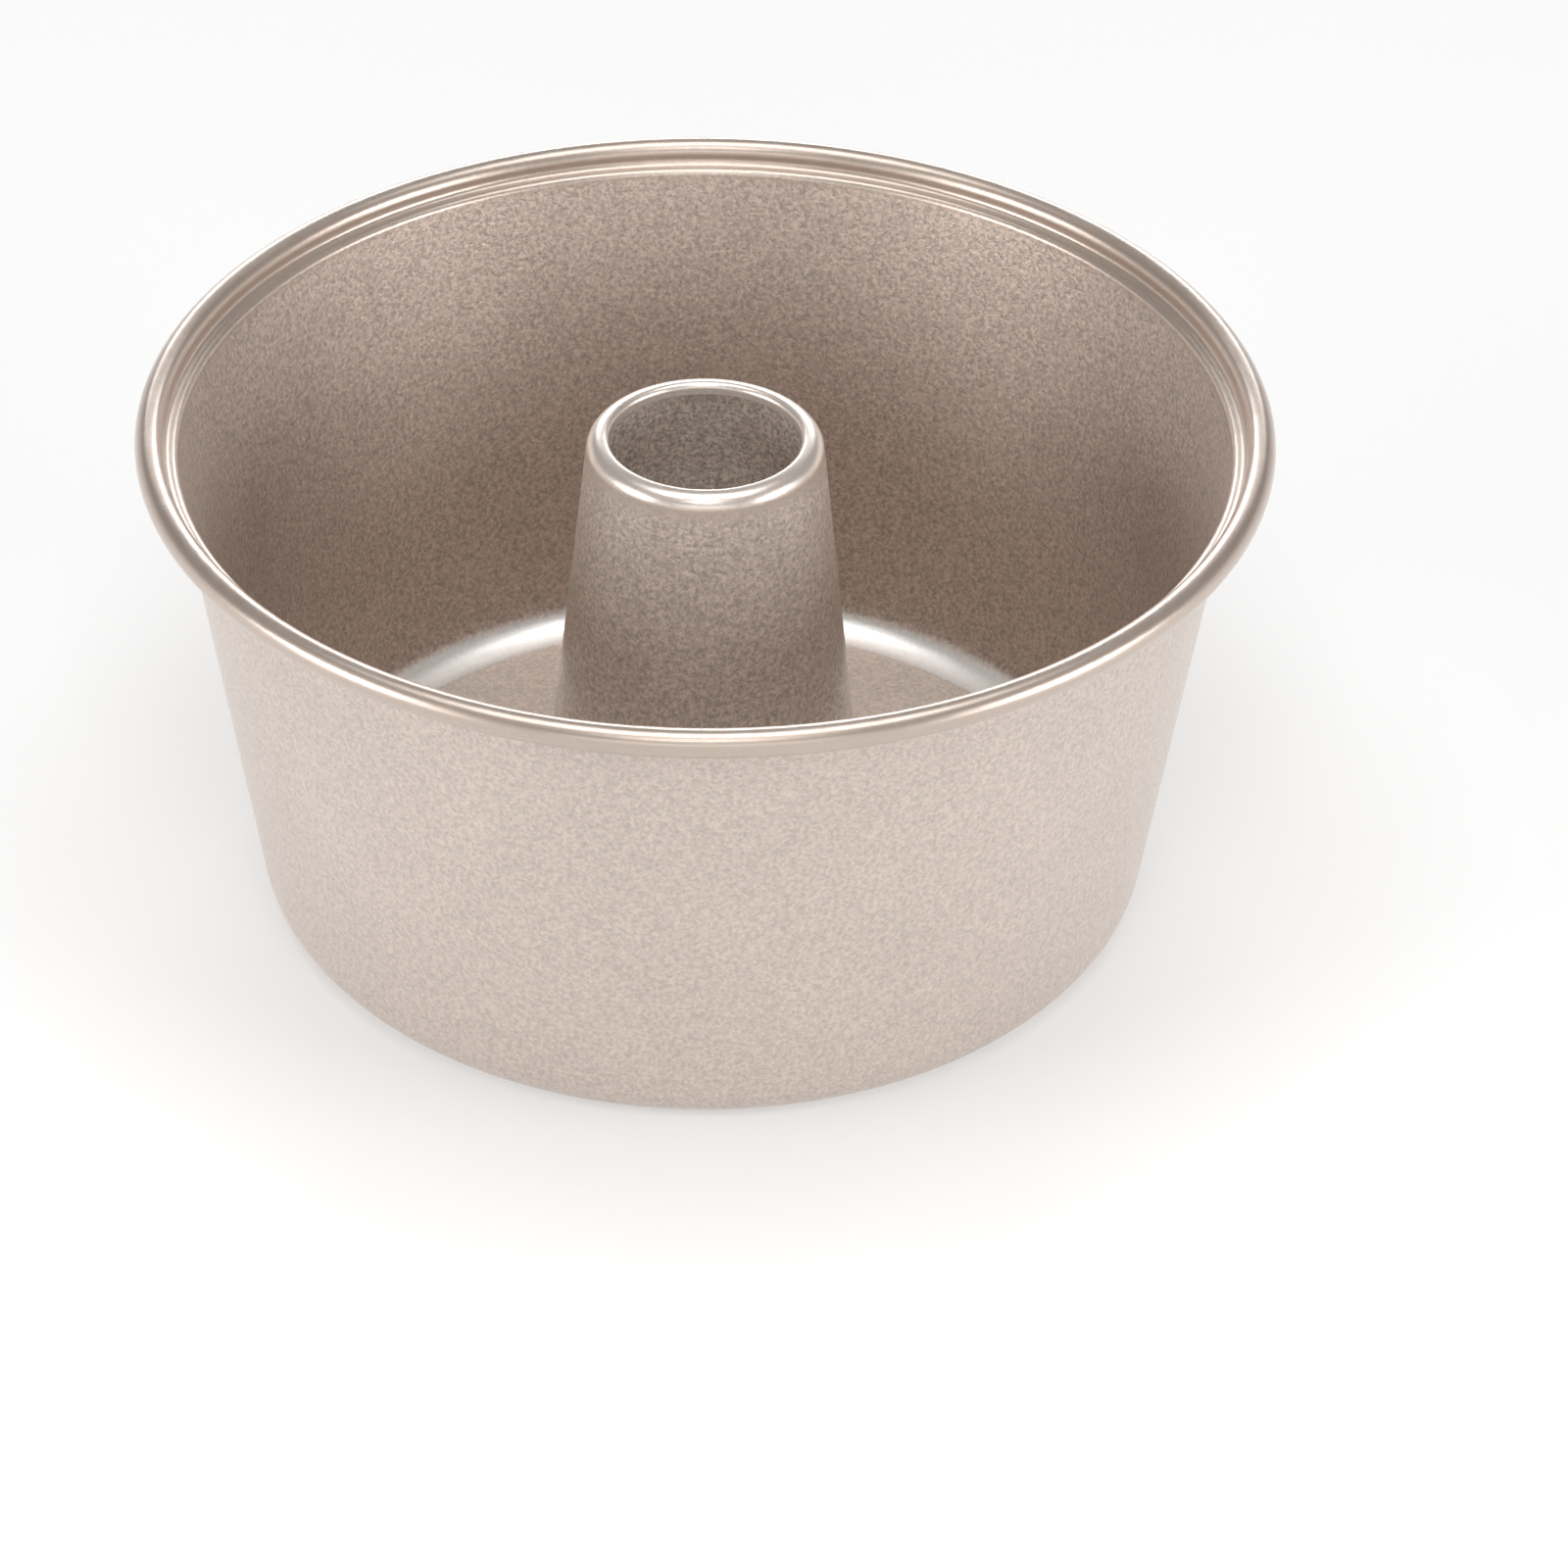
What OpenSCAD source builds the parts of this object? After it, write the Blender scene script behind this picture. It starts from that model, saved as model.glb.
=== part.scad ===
// Angel food cake pan with a lift-out base: a tapered wall with a rolled rim, and a disc with a tube

/* [Overall size] */
// Diameter over the rolled rim
rim_d = 220; // [205:1:260]
// Height from the resting face to the top of the rim
pan_h = 106.2; // [70:0.1:140]
// Diameter of the flat that the pan stands on
stand_d = 158.4; // [130:0.1:162]
// Thickness of the coated steel sheet
sheet = 0.8; // [0.6:0.1:1]

/* [Wall] */
// Outside radius of the corner between the wall and the ledge
corner_r = 10.2; // [6:0.1:14]
// Width of the flat ledge that the base disc lies on
ledge_w = 9; // [6:0.5:14]

/* [Rolled rim] */
// Diameter of the bead rolled along the edge
bead_d = 5.4; // [4.8:0.1:5.8]
// Outer bend radius of the fold where the wall ends
fold_r = 1.4; // [1.2:0.1:2]
// Radius of the hollow between the fold and the bead
cove_r = 1.4; // [1:0.1:1.8]
// Height of the bead's middle above the middle of that hollow
rim_rise = 0.5; // [0.1:0.1:3]
// Angle through which the bead is rolled
curl_sweep = 305; // [270:5:305]
// Space around the wire inside the bead
wire_gap = 0.1; // [0.05:0.05:0.3]

/* [Base disc] */
// Space between the disc's edge and the start of the wall's corner
seat_gap = 0.5; // [0.4:0.1:1.5]
// Height of the collar that stands up inside the tube
collar_h = 5; // [4:0.5:10]

/* [Centre tube] */
// How far the top of the tube is below the top of the rim
tube_drop = 5.7; // [2:0.1:20]
// Diameter of the opening at the top of the tube
mouth_d = 37.4; // [30:0.1:44]
// Radius of the shoulder round the top of the tube
shoulder_r = 3.3; // [2.4:0.1:5]
// Radius of the lip turned into the opening
lip_r = 1.2; // [1.1:0.1:2]
// Depth of that lip below the top of the tube
lip_drop = 2.5; // [2.2:0.1:5]
// Diameter of the flange round the foot of the tube
foot_d = 75; // [64:0.5:90]
// Width of the flat part of that flange
flange_w = 3; // [2:0.5:6]
// Inner bend radius where the tube turns out into the flange
foot_bend_r = 1.2; // [1:0.1:3]
// Space between the tube and the collar and disc that it is seamed to
seam_gap = 0.05; // [0.02:0.01:0.1]

/* [Hidden] */

$fn = 96;
coating = "#c8b5a5";
bare_steel = "#8f9294";

// Largest turn, in degrees, between two points of a bend and of a rounded edge
bend_step = 5;
edge_step = 30;
// Largest distance between two points of a wide bend
bend_facet = 0.4;

// All bends are given at the middle of the sheet
half = sheet / 2;

// Corner of the wall: centre and radius
corner_c = [stand_d / 2, corner_r];
corner_m = corner_r - half;

// Rolled bead: centre and radius
bead_c = [rim_d / 2 - bead_d / 2, pan_h - bead_d / 2];
bead_m = bead_d / 2 - half;
curl_end = 180 - curl_sweep;

// Hollow and fold between the wall and the bead
cove_m = cove_r + half;
fold_m = fold_r - half;
cove_c = [bead_c[0] - bead_m - cove_m, bead_c[1] - rim_rise];
fold_c = [cove_c[0], cove_c[1] - cove_m - fold_m];

// The wall is the straight line that touches both the corner and the fold
wall_lean = lean(corner_c, corner_m, fold_c, fold_m);

// Base disc
disc_r = stand_d / 2 - seat_gap;
disc_mid = sheet + half;

// Foot of the tube, one sheet above the disc
foot_m = foot_bend_r + half;
foot_c = [foot_d / 2 - flange_w, 2 * sheet + seam_gap + half + foot_m];

// Top of the tube
tube_h = pan_h - tube_drop;
lip_c = [mouth_d / 2 + lip_r, tube_h - lip_r];
lip_m = lip_r - half;
shoulder_c = [lip_c[0], tube_h - shoulder_r];
shoulder_m = shoulder_r - half;
tube_lean = lean([shoulder_c[0], -shoulder_c[1]], shoulder_m, [foot_c[0], -foot_c[1]], foot_m);

// Collar of the disc, one sheet inside the foot of the tube
collar_m = foot_m + sheet + seam_gap;
collar_from = on_circle(foot_c, collar_m, 180 + tube_lean);

// Point on a circle
function on_circle(c, r, a) = c + r * [cos(a), sin(a)];

// Points along an arc from angle a0 to angle a1
function arc(c, r, a0, a1, step) =
    let (count = ceil(abs(a1 - a0) / step))
    [for (i = [0 : count]) on_circle(c, r, a0 + (a1 - a0) * i / count)];

// The same points, last one first
function backwards(points) = [for (i = [len(points) - 1 : -1 : 0]) points[i]];

// Lean from the upright of a line that passes outside circle a and inside circle b
function lean(a, ra, b, rb) =
    atan2(b[0] - a[0], b[1] - a[1]) - asin((ra + rb) / norm(b - a));

// One face of a bent sheet, at a distance to the left of its middle.
// Each bend is given as [centre, radius, from angle, to angle].
function face(bends, left_by) = [
    for (b = bends)
        let (r = b[1] + (b[3] > b[2] ? -left_by : left_by))
        let (step = min(bend_step, bend_facet / r * 180 / PI))
        each arc(b[0], r, b[2], b[3], step)
];

// Section of a bent sheet from one rounded edge to the other, each given by its centre and heading
module section(first, first_dir, bends, last, last_dir) {
    left = face(bends, half);
    right = face(bends, -half);
    last_edge = arc(last, half, last_dir + 90, last_dir - 90, edge_step);
    first_edge = arc(first, half, first_dir - 90, first_dir - 270, edge_step);
    polygon(concat(left, last_edge, backwards(right), first_edge));
}

// Wall, ledge and rolled rim, drawn from one sheet
module pan_body() {
    ledge_edge = [corner_c[0] - ledge_w + half, half];
    curl_edge = on_circle(bead_c, bead_m, curl_end);
    bends = [
        [corner_c, corner_m, -90, -wall_lean],
        [fold_c, fold_m, 180 - wall_lean, 90],
        [cove_c, cove_m, -90, 0],
        [bead_c, bead_m, 180, curl_end]
    ];
    color(coating)
        rotate_extrude()
            section(ledge_edge, 0, bends, curl_edge, curl_end - 90);
}

// Wire that the bead is rolled around
module rim_wire() {
    color(bare_steel)
        rotate_extrude()
            translate(bead_c)
                circle(r = bead_m - half - wire_gap);
}

// Flat disc with a collar turned up around its middle
module base_disc() {
    disc_edge = [disc_r - half, disc_mid];
    collar_edge = collar_from + collar_h * [-sin(tube_lean), cos(tube_lean)];
    bends = [[foot_c, collar_m, 270, 180 + tube_lean]];
    color(coating)
        rotate_extrude()
            section(disc_edge, 180, bends, collar_edge, 90 + tube_lean);
}

// Tapered tube, open at both ends, seamed over the collar
module center_tube() {
    flange_edge = [foot_d / 2 - half, foot_c[1] - foot_m];
    lip_edge = [lip_c[0] - lip_m, tube_h - lip_drop + half];
    bends = [
        [foot_c, foot_m, 270, 180 + tube_lean],
        [shoulder_c, shoulder_m, tube_lean, 90],
        [lip_c, lip_m, 90, 180]
    ];
    color(coating)
        rotate_extrude()
            section(flange_edge, 180, bends, lip_edge, 270);
}

pan_body();
rim_wire();
base_disc();
center_tube();
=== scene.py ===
import math
import bpy
from mathutils import Matrix, Vector

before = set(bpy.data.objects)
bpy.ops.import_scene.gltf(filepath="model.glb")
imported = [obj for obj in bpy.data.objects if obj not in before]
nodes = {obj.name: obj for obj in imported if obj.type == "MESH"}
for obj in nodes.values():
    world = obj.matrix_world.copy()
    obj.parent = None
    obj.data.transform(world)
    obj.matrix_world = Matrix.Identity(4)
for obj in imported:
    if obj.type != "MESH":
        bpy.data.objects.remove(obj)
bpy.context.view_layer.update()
scene = bpy.context.scene
print("frame loaded:", sorted(nodes))


# small helpers for node trees: x and y only lay the nodes out
def addNode(tree, kind, x, y, **settings):
    node = tree.nodes.new(kind)
    node.location = (x, y)
    for name, value in settings.items():
        setattr(node, name, value)
    return node


def plug(tree, source, target):
    tree.links.new(source, target)


def setOrPlug(tree, socket, value):
    if isinstance(value, bpy.types.NodeSocket):
        plug(tree, value, socket)
    else:
        socket.default_value = value


def maths(tree, operation, a, b, x, y, clamp=False):
    node = addNode(tree, "ShaderNodeMath", x, y, operation=operation, use_clamp=clamp)
    setOrPlug(tree, node.inputs[0], a)
    if b is not None:        # a root or an absolute value has one input
        setOrPlug(tree, node.inputs[1], b)
    return node.outputs[0]


def remap(tree, value, low, high, toLow, toHigh, x, y, smooth=True):
    node = addNode(tree, "ShaderNodeMapRange", x, y, clamp=True)
    node.interpolation_type = "SMOOTHSTEP" if smooth else "LINEAR"
    for socket, v in zip(node.inputs[:5], (value, low, high, toLow, toHigh)):
        setOrPlug(tree, socket, v)
    return node.outputs[0]


def mixColor(tree, factor, a, b, x, y):
    node = addNode(tree, "ShaderNodeMix", x, y, data_type="RGBA")
    setOrPlug(tree, node.inputs[0], factor)
    for socket, color in ((node.inputs[6], a), (node.inputs[7], b)):
        setOrPlug(tree, socket, (*color, 1.0) if isinstance(color, tuple) else color)
    return node.outputs[2]


def scaleColor(tree, color, level, x, y):
    node = addNode(tree, "ShaderNodeVectorMath", x, y, operation="SCALE")
    setOrPlug(tree, node.inputs[0], color)
    plug(tree, level, node.inputs["Scale"])
    return node.outputs[0]


def splitVector(tree, vector, x, y):
    node = addNode(tree, "ShaderNodeSeparateXYZ", x, y)
    plug(tree, vector, node.inputs[0])
    return node.outputs


def noise(tree, vector, scale, detail, x, y, rough=0.5):
    node = addNode(tree, "ShaderNodeTexNoise", x, y)
    plug(tree, vector, node.inputs["Vector"])
    setOrPlug(tree, node.inputs["Scale"], scale)
    node.inputs["Detail"].default_value = detail
    node.inputs["Roughness"].default_value = rough
    return node.outputs["Fac"]


def bumpNormal(tree, height, strength, distance, x, y):
    node = addNode(tree, "ShaderNodeBump", x, y)
    node.inputs["Strength"].default_value = strength
    node.inputs["Distance"].default_value = distance
    plug(tree, height, node.inputs["Height"])
    return node.outputs["Normal"]


def newGroup(name, inputs, outputs):
    tree = bpy.data.node_groups.new(name, "ShaderNodeTree")
    for label, kind, value in inputs:
        socket = tree.interface.new_socket(label, in_out="INPUT", socket_type=kind)
        if value is not None:
            socket.default_value = value
    for label, kind in outputs:
        tree.interface.new_socket(label, in_out="OUTPUT", socket_type=kind)
    start = addNode(tree, "NodeGroupInput", -1400, 0)
    end = addNode(tree, "NodeGroupOutput", 900, 0)
    return tree, start.outputs, end.inputs


def placeGroup(tree, group, x, y, **values):
    node = addNode(tree, "ShaderNodeGroup", x, y, node_tree=group)
    for label, value in values.items():
        setOrPlug(tree, node.inputs[label.replace("_", " ")], value)
    return node.outputs


def newMaterial(name):
    material = bpy.data.materials.new(name)
    material.use_nodes = True
    material.node_tree.nodes.clear()
    return material, material.node_tree


# how the noises of the coating are mixed, the same on every coated piece
grainMix = dict(
    flakeRatio=1.9,          # flakes to one bump of the orange peel
    flakeDetail=1.0,
    flakeBreak=0.5,
    flakeShare=0.35,
    peelDetail=2.0,
    peelBreak=0.6,
    peelShare=0.65,
    fineRange=(0.36, 0.64),  # the part of the noise that goes from darkest to lightest
    cloudDetail=3.0,
    cloudBreak=0.55,
    cloudRange=(0.3, 0.7),
    cloudGloss=0.8,          # how much of the cloudiness the roughness follows
)


# sprayed metallic coating: fine flakes, orange peel and a soft cloudiness
def buildGrain(mix):
    tree, given, out = newGroup("sprayedGrain", [
        ("Vector", "NodeSocketVector", None),
        ("Color", "NodeSocketColor", None),
        ("Grain Size", "NodeSocketFloat", 0.0006),
        ("Grain Depth", "NodeSocketFloat", 0.1),
        ("Cloud Size", "NodeSocketFloat", 0.03),
        ("Cloud Depth", "NodeSocketFloat", 0.04),
        ("Roughness", "NodeSocketFloat", 0.4),
        ("Calm", "NodeSocketFloat", 0.0),
    ], [
        ("Color", "NodeSocketColor"),
        ("Roughness", "NodeSocketFloat"),
        ("Height", "NodeSocketFloat"),
    ])
    coords = given["Vector"]
    grainScale = maths(tree, "DIVIDE", 1.0, given["Grain Size"], -1150, 200)
    cloudScale = maths(tree, "DIVIDE", 1.0, given["Cloud Size"], -1150, -200)
    flakeScale = maths(tree, "MULTIPLY", grainScale, mix["flakeRatio"], -950, 350)
    peel = noise(tree, coords, grainScale, mix["peelDetail"], -750, 150, mix["peelBreak"])
    flake = noise(tree, coords, flakeScale, mix["flakeDetail"], -750, 400, mix["flakeBreak"])
    cloud = noise(tree, coords, cloudScale, mix["cloudDetail"], -750, -200, mix["cloudBreak"])

    peelPart = maths(tree, "MULTIPLY", peel, mix["peelShare"], -550, 200)
    flakePart = maths(tree, "MULTIPLY", flake, mix["flakeShare"], -550, 350)
    fine = maths(tree, "ADD", peelPart, flakePart, -400, 250)
    spread = remap(tree, fine, *mix["fineRange"], -1.0, 1.0, -250, 250, smooth=False)
    lively = maths(tree, "SUBTRACT", 1.0, given["Calm"], -400, 0, clamp=True)
    depth = maths(tree, "MULTIPLY", given["Grain Depth"], lively, -100, 150)
    grainPart = maths(tree, "MULTIPLY", spread, depth, 50, 250)
    cloudy = remap(tree, cloud, *mix["cloudRange"], -1.0, 1.0, -400, -200, smooth=False)
    cloudPart = maths(tree, "MULTIPLY", cloudy, given["Cloud Depth"], -100, -150)
    level = maths(tree, "ADD", 1.0, maths(tree, "ADD", grainPart, cloudPart, 200, 100), 350, 100)
    plug(tree, scaleColor(tree, given["Color"], level, 550, 150), out["Color"])

    uneven = maths(tree, "MULTIPLY", cloudPart, mix["cloudGloss"], 350, -150)
    rough = maths(tree, "ADD", given["Roughness"], uneven, 550, -150, clamp=True)
    plug(tree, rough, out["Roughness"])
    plug(tree, maths(tree, "MULTIPLY", fine, lively, 550, -300), out["Height"])
    return tree


wearMix = dict(
    patchDetail=5.0,
    patchBreak=0.65,
    patchRange=(0.42, 0.66),     # below this the coating is whole, above it is worn through
)


# bright thin wear where a formed edge gets handled: a band in height, broken up by noise
def buildEdgeWear(mix):
    tree, given, out = newGroup("edgeWear", [
        ("Vector", "NodeSocketVector", None),
        ("Level", "NodeSocketFloat", 0.1),
        ("Width", "NodeSocketFloat", 0.001),
        ("Patch Size", "NodeSocketFloat", 0.01),
        ("Amount", "NodeSocketFloat", 0.5),
    ], [("Mask", "NodeSocketFloat")])
    height = splitVector(tree, given["Vector"], -1150, 100)["Z"]
    above = maths(tree, "SUBTRACT", height, given["Level"], -950, 100)
    away = maths(tree, "ABSOLUTE", above, None, -800, 100)
    ratio = maths(tree, "DIVIDE", away, given["Width"], -650, 100)
    band = maths(tree, "SUBTRACT", 1.0, ratio, -500, 100, clamp=True)
    patchScale = maths(tree, "DIVIDE", 1.0, given["Patch Size"], -950, -150)
    patches = noise(tree, given["Vector"], patchScale, mix["patchDetail"], -650, -150, mix["patchBreak"])
    broken = remap(tree, patches, *mix["patchRange"], 0.0, 1.0, -400, -150)
    mask = maths(tree, "MULTIPLY", band, broken, -150, 0)
    plug(tree, maths(tree, "MULTIPLY", mask, given["Amount"], 100, 0, clamp=True), out["Mask"])
    return tree


sprayedGrain = buildGrain(grainMix)
edgeWear = buildEdgeWear(wearMix)
print("shared node groups built")


# 1 where the sheet faces the pan's axis, 0 where it faces away from it
def facingAxis(tree, position, normal):
    towards, past = -0.15, 0.05      # dot products of the normal and the way out from the axis
    flat = addNode(tree, "ShaderNodeCombineXYZ", -1500, -600)
    plug(tree, position["X"], flat.inputs["X"])
    plug(tree, position["Y"], flat.inputs["Y"])
    outward = addNode(tree, "ShaderNodeVectorMath", -1350, -600, operation="NORMALIZE")
    plug(tree, flat.outputs[0], outward.inputs[0])
    facing = addNode(tree, "ShaderNodeVectorMath", -1200, -600, operation="DOT_PRODUCT")
    plug(tree, outward.outputs[0], facing.inputs[0])
    plug(tree, normal, facing.inputs[1])
    return remap(tree, facing.outputs["Value"], towards, past, 1.0, 0.0, -1050, -600)


def coatedMaterial(name, look):
    material, tree = newMaterial(name)
    given = addNode(tree, "ShaderNodeTexCoord", -1700, 0).outputs
    coords = given["Object"]
    position = splitVector(tree, coords, -1500, -350)
    height = position["Z"]

    # where the sheet is rim, the corner round the disc with its painted highlight, or the inside with
    # painted shade that darkens towards the bottom
    inside = facingAxis(tree, position, given["Normal"])
    formed = remap(tree, height, *look["formedHeights"], 0.0, look["calm"], -900, -350)
    low = remap(tree, height, *look["bendHeights"], 1.0, 0.0, -900, -600)
    bend = maths(tree, "MULTIPLY", inside, low, -750, -600)
    # painted shade: a darker colour on the inside, strongest low down
    deep = remap(tree, height, *look["paintedShadeHeights"], 1.0, 0.0, -900, 600)
    paintedShadeMask = maths(tree, "MULTIPLY", inside, deep, -750, 600)

    rough = remap(tree, formed, 0.0, 1.0, look["roughness"], look["formedRoughness"],
                  -750, -150, smooth=False)
    rough = remap(tree, bend, 0.0, 1.0, rough, look["bendRoughness"], -600, -600, smooth=False)
    bendCalm = maths(tree, "MULTIPLY", bend, look["calm"], -600, -450)
    calm = maths(tree, "MAXIMUM", formed, bendCalm, -450, -450)
    depth = remap(tree, inside, 0.0, 1.0, look["grainDepth"], look["grainInside"],
                  -900, 350, smooth=False)
    # mixes in the painted shade colour low on the inside
    color = mixColor(tree, paintedShadeMask, look["color"], look["paintedShadeColor"], -850, 450)
    color = mixColor(tree, formed, color, look["formedColor"], -850, 200)
    # painted highlight: a near-white colour in the corner round the disc
    color = mixColor(tree, bend, color, look["paintedHighlightColor"], -700, 200)

    grain = placeGroup(tree, sprayedGrain, -600, 100, Vector=coords, Color=color,
                       Grain_Size=look["grainSize"], Grain_Depth=depth,
                       Cloud_Size=look["cloudSize"], Cloud_Depth=look["cloudDepth"],
                       Roughness=rough, Calm=calm)
    wear = placeGroup(tree, edgeWear, -600, -300, Vector=coords, Level=look["wearLevel"],
                      Width=look["wearWidth"], Patch_Size=look["wearPatch"],
                      Amount=look["wearAmount"])["Mask"]
    color = mixColor(tree, wear, grain["Color"], look["wearColor"], -250, 150)
    polish = maths(tree, "MULTIPLY", wear, look["wearPolish"], -400, -100)
    rough = maths(tree, "SUBTRACT", grain["Roughness"], polish, -250, -50, clamp=True)

    shader = addNode(tree, "ShaderNodeBsdfPrincipled", 50, 100)
    shader.inputs["Metallic"].default_value = look["metallic"]
    shader.inputs["Coat Weight"].default_value = look["coat"]
    shader.inputs["Coat Roughness"].default_value = look["coatRoughness"]
    if look["formedCoat"] != look["coat"]:
        coat = remap(tree, formed, 0.0, look["calm"], look["coat"], look["formedCoat"],
                     -250, -450, smooth=False)
        plug(tree, coat, shader.inputs["Coat Weight"])
    plug(tree, color, shader.inputs["Base Color"])
    plug(tree, rough, shader.inputs["Roughness"])
    normal = bumpNormal(tree, grain["Height"], look["bumpStrength"], look["bumpHeight"], -250, -250)
    plug(tree, normal, shader.inputs["Normal"])
    end = addNode(tree, "ShaderNodeOutputMaterial", 350, 100)
    plug(tree, shader.outputs["BSDF"], end.inputs["Surface"])
    return material


def dress(node, material):
    mesh = nodes[node].data
    mesh.materials.clear()
    mesh.materials.append(material)


# pan: tapered wall, ledge and rolled rim (sizes and heights in metres)
panLook = dict(
    color=(0.66, 0.565, 0.50),
    metallic=0.6,
    roughness=0.45,
    coat=0.6,
    coatRoughness=0.28,
    grainSize=0.0010,
    grainDepth=0.165,
    grainInside=0.31,                       # the grain stands out more on the inside
    cloudSize=0.035,
    cloudDepth=0.03,
    bumpStrength=0.6,
    bumpHeight=0.0003,
    formedHeights=(0.0985, 0.1020),         # the rim, where the coating lies smooth and glossy
    formedColor=(0.55, 0.445, 0.375),
    formedRoughness=0.30,
    formedCoat=1.0,
    calm=0.85,                              # share of the grain that rim and corner lose
    bendHeights=(0.00324, 0.0054),          # the corner round the disc: smoother coating, with a near-white painted highlight in its colour
    # painted highlight: near-white, standing in for the overhead lamp's reflection in the corner
    paintedHighlightColor=(0.95, 0.93, 0.90),
    bendRoughness=0.34,
    paintedShadeHeights=(0.030, 0.088),         # painted shade: the inside gets darker towards the bottom
    paintedShadeColor=(0.47, 0.375, 0.315),
    wearLevel=0.1062,                       # the crest of the rim
    wearWidth=0.0006,
    wearPatch=0.006,
    wearAmount=0.35,
    wearColor=(0.80, 0.74, 0.68),
    wearPolish=0.12,
)
dress("pan_body", coatedMaterial("panCoating", panLook))

# base disc: flat, so it has no smooth rim
discLook = dict(
    panLook,
    # painted light: lighter than the pan body's colour, though it is the same coating
    color=(0.80, 0.71, 0.64),
    # painted shade colour, barely darker than the colour above
    paintedShadeColor=(0.79, 0.70, 0.63),
    grainInside=0.165,
    formedCoat=0.6,                         # the same coat all over
    bendHeights=(0.00006, 0.0001),          # below the disc: no corner, so no painted highlight
    wearAmount=0.0,
)
dress("base_disc", coatedMaterial("discCoating", discLook))

# centre tube: the shoulder round its top is smooth, as the rim is
tubeLook = dict(
    panLook,
    # painted light: lighter than the pan body's colours, though it is the same coating
    color=(0.80, 0.71, 0.64),
    formedColor=(0.80, 0.71, 0.64),
    # painted shade colour, barely darker than the colour above
    paintedShadeColor=(0.79, 0.70, 0.63),
    grainDepth=0.29,
    grainInside=0.42,
    formedHeights=(0.0930, 0.0985),
    bendHeights=(0.00006, 0.0001),          # below the tube: no corner, so no painted highlight
    wearLevel=0.1005,                       # the top of the tube
    wearAmount=0.25,
)
dress("center_tube", coatedMaterial("tubeCoating", tubeLook))
print("coated pieces done")

# wire inside the rolled rim
wireLook = dict(
    color=(0.52, 0.53, 0.54),
    lineSize=0.0004,
    lineDetail=2.0,
    lineDepth=0.18,
    spotScale=60.0,
    spotDetail=3.0,
    noiseRange=(0.3, 0.7),
    roughness=(0.26, 0.42),
    bumpStrength=0.4,
    bumpHeight=0.00002,
)


def wireMaterial(look):
    material, tree = newMaterial("drawnWire")
    coords = addNode(tree, "ShaderNodeTexCoord", -1200, 0).outputs["Object"]
    position = splitVector(tree, coords, -1000, 0)
    squares = [maths(tree, "POWER", position[axis], 2.0, -850, 0) for axis in ("X", "Y")]
    radius = maths(tree, "SQRT", maths(tree, "ADD", *squares, -700, 50), None, -550, 50)
    joined = addNode(tree, "ShaderNodeCombineXYZ", -400, 50)     # drawing lines run all the way round
    plug(tree, radius, joined.inputs["X"])
    plug(tree, position["Z"], joined.inputs["Z"])
    lines = noise(tree, joined.outputs[0], 1.0 / look["lineSize"], look["lineDetail"], -250, 50)
    spots = noise(tree, coords, look["spotScale"], look["spotDetail"], -250, -150)
    darkest, lightest = 1.0 - look["lineDepth"], 1.0 + look["lineDepth"]
    shade = remap(tree, lines, *look["noiseRange"], darkest, lightest, -50, 50, smooth=False)
    rough = remap(tree, spots, *look["noiseRange"], *look["roughness"], 100, -150)
    shader = addNode(tree, "ShaderNodeBsdfPrincipled", 400, 100)
    shader.inputs["Metallic"].default_value = 1.0
    plug(tree, scaleColor(tree, look["color"], shade, 150, 100), shader.inputs["Base Color"])
    plug(tree, rough, shader.inputs["Roughness"])
    normal = bumpNormal(tree, lines, look["bumpStrength"], look["bumpHeight"], 150, -300)
    plug(tree, normal, shader.inputs["Normal"])
    end = addNode(tree, "ShaderNodeOutputMaterial", 700, 100)
    plug(tree, shader.outputs["BSDF"], end.inputs["Surface"])
    return material


dress("rim_wire", wireMaterial(wireLook))
print("wire done")


# 1 for what is seen directly, in a reflection or through glass
def seenDirectly(tree, x, y):
    path = addNode(tree, "ShaderNodeLightPath", x - 200, y).outputs
    seen = maths(tree, "MAXIMUM", path["Is Camera Ray"], path["Is Glossy Ray"], x, y)
    return maths(tree, "MAXIMUM", seen, path["Is Transmission Ray"], x + 150, y)


floorLook = dict(
    size=6.0,
    color=(0.58, 0.58, 0.58),
    shown=0.40,              # glow on top of the shaded floor, only where it is seen directly
)


def buildFloor(look):
    half = look["size"] / 2
    corners = [(-half, -half, 0), (half, -half, 0), (half, half, 0), (-half, half, 0)]
    mesh = bpy.data.meshes.new("floor")
    mesh.from_pydata(corners, [], [(0, 1, 2, 3)])
    floor = bpy.data.objects.new("floor", mesh)
    scene.collection.objects.link(floor)
    material, tree = newMaterial("paleFloor")
    matte = addNode(tree, "ShaderNodeBsdfDiffuse", -200, 100)
    matte.inputs["Color"].default_value = (*look["color"], 1.0)
    glow = addNode(tree, "ShaderNodeEmission", -200, -100)
    strength = maths(tree, "MULTIPLY", seenDirectly(tree, -500, -100), look["shown"], -350, -250)
    plug(tree, strength, glow.inputs["Strength"])
    both = addNode(tree, "ShaderNodeAddShader", 50, 0)
    plug(tree, matte.outputs[0], both.inputs[0])
    plug(tree, glow.outputs[0], both.inputs[1])
    end = addNode(tree, "ShaderNodeOutputMaterial", 250, 0)
    plug(tree, both.outputs[0], end.inputs["Surface"])
    mesh.materials.append(material)


buildFloor(floorLook)

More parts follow.
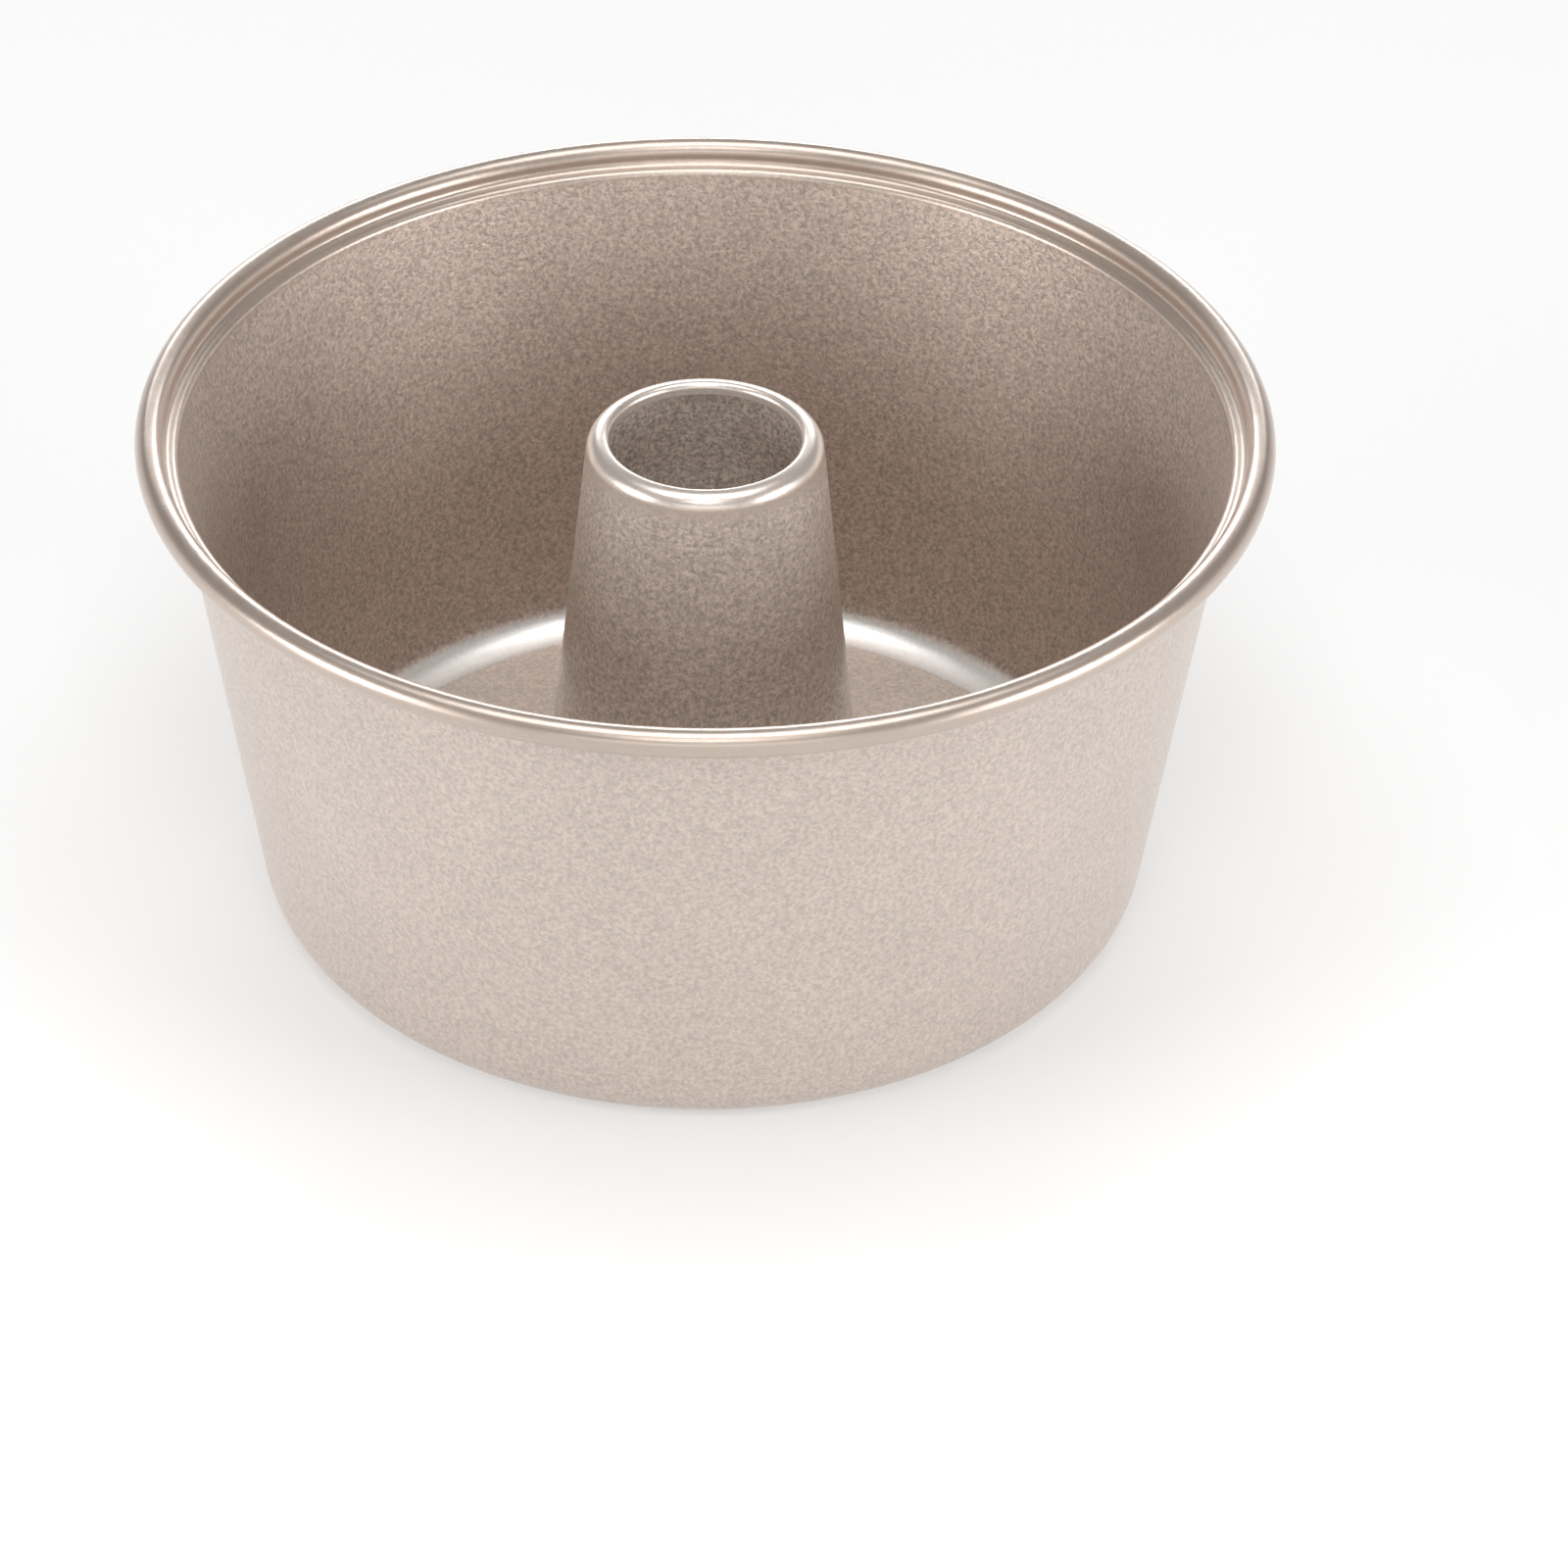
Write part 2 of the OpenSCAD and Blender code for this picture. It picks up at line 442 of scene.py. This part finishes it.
lightLook = dict(
    room=0.05,               # grey light of the room
    backdrop=0.9,            # the pale backdrop all round, where it is seen directly
    backdropTop=(8, 16),     # degrees over which it gives way to the room
    aim=(0.0, 0.0, 0.05),    # all boxes face this point
    # name, direction to it (azimuth from the camera's side, height in degrees),
    # distance, width, depth, watts
    boxes=[
        ("frontBox", (0, 20), 1.5, 1.4, 0.42, 3.2),
        ("frontHighBox", (0, 52), 1.5, 0.5, 0.4, 3.6),
        ("topBox", (0, 88), 1.4, 1.3, 0.7, 11.2),
        ("backBox", (180, 20), 1.6, 1.2, 0.36, 8.8),
        ("leftBox", (-70, 20), 1.5, 0.8, 0.42, 7.8),
        ("rightBox", (70, 20), 1.5, 0.8, 0.42, 7.8),
        ("lowLeftBox", (-60, 8), 1.5, 0.8, 0.2, 2.6),
        ("lowRightBox", (60, 8), 1.5, 0.8, 0.2, 2.6),
    ],
)


def buildWorld(look):
    world = bpy.data.worlds.new("room")
    scene.world = world
    world.use_nodes = True
    tree = world.node_tree
    tree.nodes.clear()
    seen = seenDirectly(tree, -500, 0)
    outlook = addNode(tree, "ShaderNodeTexCoord", -900, -300).outputs["Generated"]
    height = splitVector(tree, outlook, -700, -300)["Z"]
    low, high = [math.sin(math.radians(angle)) for angle in look["backdropTop"]]
    shown = remap(tree, height, low, high, look["backdrop"], look["room"], -500, -300)
    strength = remap(tree, seen, 0.0, 1.0, look["room"], shown, -200, 0, smooth=False)
    glow = addNode(tree, "ShaderNodeBackground", 0, 0)
    plug(tree, strength, glow.inputs["Strength"])
    end = addNode(tree, "ShaderNodeOutputWorld", 200, 0)
    plug(tree, glow.outputs[0], end.inputs["Surface"])


# unit vector towards an azimuth from the camera's side and a height, both in degrees
def direction(azimuth, height):
    a, h = math.radians(azimuth), math.radians(height)
    return Vector((math.sin(a) * math.cos(h), -math.cos(a) * math.cos(h), math.sin(h)))


def buildBoxes(look):
    target = Vector(look["aim"])
    for name, (azimuth, height), distance, width, depth, watts in look["boxes"]:
        offset = distance * direction(azimuth, height)
        lamp = bpy.data.lights.new(name, "AREA")
        lamp.shape = "RECTANGLE"
        lamp.size = width
        lamp.size_y = depth
        lamp.energy = watts
        holder = bpy.data.objects.new(name, lamp)
        turn = offset.to_track_quat("Z", "Y").to_matrix().to_4x4()
        holder.matrix_world = Matrix.Translation(target + offset) @ turn
        scene.collection.objects.link(holder)


buildWorld(lightLook)
buildBoxes(lightLook)

cameraLook = dict(
    aim=(0.0, 0.0, 0.044),
    distance=1.0888,
    height=34.708,           # degrees above the floor
    roll=0.383,
    lens=125.23,
    sensor=36.0,
    clip=(0.05, 50.0),
    frameSize=1600,          # the photograph is a square of this many pixels
    aimPixel=(718.1, 688.4),     # where the aim lies in it
)


def buildCamera(look):
    camera = bpy.data.cameras.new("camera")
    camera.sensor_fit = "HORIZONTAL"
    camera.sensor_width = look["sensor"]
    camera.lens = look["lens"]
    middle = look["frameSize"] / 2
    camera.shift_x = (middle - look["aimPixel"][0]) / look["frameSize"]
    camera.shift_y = (look["aimPixel"][1] - middle) / look["frameSize"]
    camera.clip_start, camera.clip_end = look["clip"]
    spot = Vector(look["aim"]) + look["distance"] * direction(0, look["height"])
    tilt = Matrix.Rotation(math.radians(90 - look["height"]), 4, "X")
    roll = Matrix.Rotation(math.radians(look["roll"]), 4, "Z")
    holder = bpy.data.objects.new("camera", camera)
    holder.matrix_world = Matrix.Translation(spot) @ tilt @ roll
    scene.collection.objects.link(holder)
    scene.camera = holder


buildCamera(cameraLook)
scene.view_settings.view_transform = "Standard"
print("stage, lights and camera done")
